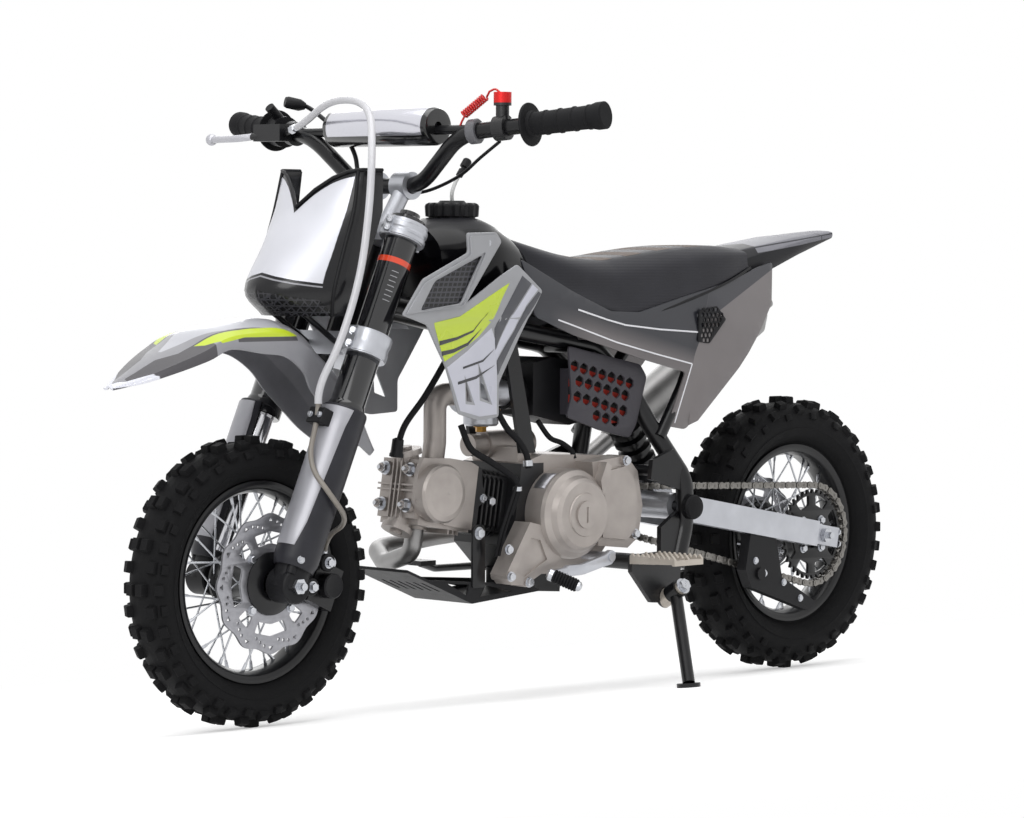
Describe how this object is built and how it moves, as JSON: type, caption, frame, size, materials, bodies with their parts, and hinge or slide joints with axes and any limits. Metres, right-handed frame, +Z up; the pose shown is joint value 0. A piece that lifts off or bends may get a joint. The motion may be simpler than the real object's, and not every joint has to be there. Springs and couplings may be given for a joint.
{
  "type": "kids pit bike",
  "caption": "Small off-road motorcycle with spoked wheels, long fork, horizontal single engine and side stand, leaning on the stand.",
  "frame": {"origin": "on the ground under the middle of the bounding box, bike leaning 6 degrees on its side stand", "axes": "+X forward, +Y to the rider's left, +Z up"},
  "size_m": [1.526, 0.7416, 0.8713],
  "materials": {
    "tyre": "matte black rubber",
    "spoke_steel": "black rim, zinc-plated spokes",
    "disc_steel": "ground stainless steel",
    "bolt_steel": "zinc-plated",
    "chain_steel": "oiled steel",
    "black_metal": "black powder coat",
    "fork_silver": "silver painted",
    "cast_silver": "bead-blasted casting",
    "swingarm_silver": "brushed bare aluminium",
    "exhaust_chrome": "chromed steel",
    "pad_vinyl": "vinyl-coated foam",
    "seat_vinyl": "ribbed vinyl",
    "grip_rubber": "matte",
    "hose": "clear outer over braid",
    "black_plastic": "fine texture",
    "grey_plastic": "glossy moulding",
    "white_plastic": "glossy moulding",
    "red_plastic": "glossy moulding"
  },
  "bodies": {
    "chassis": {"airbox": "black_plastic", "airbox_cover": "grey_plastic", "axle_rear": "bolt_steel", "brake_pedal": "black_metal", "carburettor": "cast_silver", "chain": "chain_steel", "chain_guide": "black_plastic", "engine_case": "cast_silver", "engine_top": "cast_silver", "exhaust_header": "exhaust_chrome", "footpegs": "cast_silver", "frame": "black_metal", "fuel_cap": "black_plastic", "fuel_tank": "black_plastic", "intake": "cast_silver", "kick_starter": "bolt_steel", "pivot_bolt": "black_metal", "seat": "seat_vinyl", "shift_lever": "swingarm_silver", "shock": "black_metal", "shrouds": "grey_plastic", "side_panels": "grey_plastic", "silencer": "black_metal", "skid_plate": "black_plastic", "swingarm": "swingarm_silver", "tail": "grey_plastic"},
    "steering": {"fork_uppers": "black_metal", "fork_lowers": "fork_silver", "lower_clamp": "cast_silver", "upper_clamp": "cast_silver", "axle_front": "bolt_steel", "caliper_front": "black_metal", "handlebar": "black_metal", "bar_pad": "pad_vinyl", "grips": "grip_rubber", "throttle_housing": "black_plastic", "brake_master": "black_plastic", "kill_switch": "red_plastic", "number_plate": "white_plastic", "fender_front": "grey_plastic", "brake_hose": "hose"},
    "front_wheel": {"tyre_front": "tyre", "wheel_front": "spoke_steel", "disc_front": "disc_steel"},
    "rear_wheel": {"tyre_rear": "tyre", "wheel_rear": "spoke_steel", "disc_rear": "disc_steel", "sprocket_rear": "black_metal"},
    "side_stand": {"side_stand": "black_metal"}
  },
  "joints": [
    {"name": "steering", "type": "hinge", "parent": "chassis", "child": "steering", "pos_m": [0.50216, -0.0655, 0.18543], "axis": [-0.4067, 0.0955, 0.9085], "range_deg": [-35, 35]},
    {"name": "front_wheel_spin", "type": "hinge", "parent": "steering", "child": "front_wheel", "pos_m": [0.525, -0.06444, 0.19555], "axis": [0, 0.9945, -0.1045], "continuous": true},
    {"name": "rear_wheel_spin", "type": "hinge", "parent": "chassis", "child": "rear_wheel", "pos_m": [-0.555, -0.06308, 0.20848], "axis": [0, 0.9945, -0.1045], "continuous": true},
    {"name": "side_stand_fold", "type": "hinge", "parent": "chassis", "child": "side_stand", "pos_m": [-0.163, 0.07407, 0.13574], "axis": [0.036, 0.9183, 0.3942], "range_deg": [0, 108]}
  ]
}
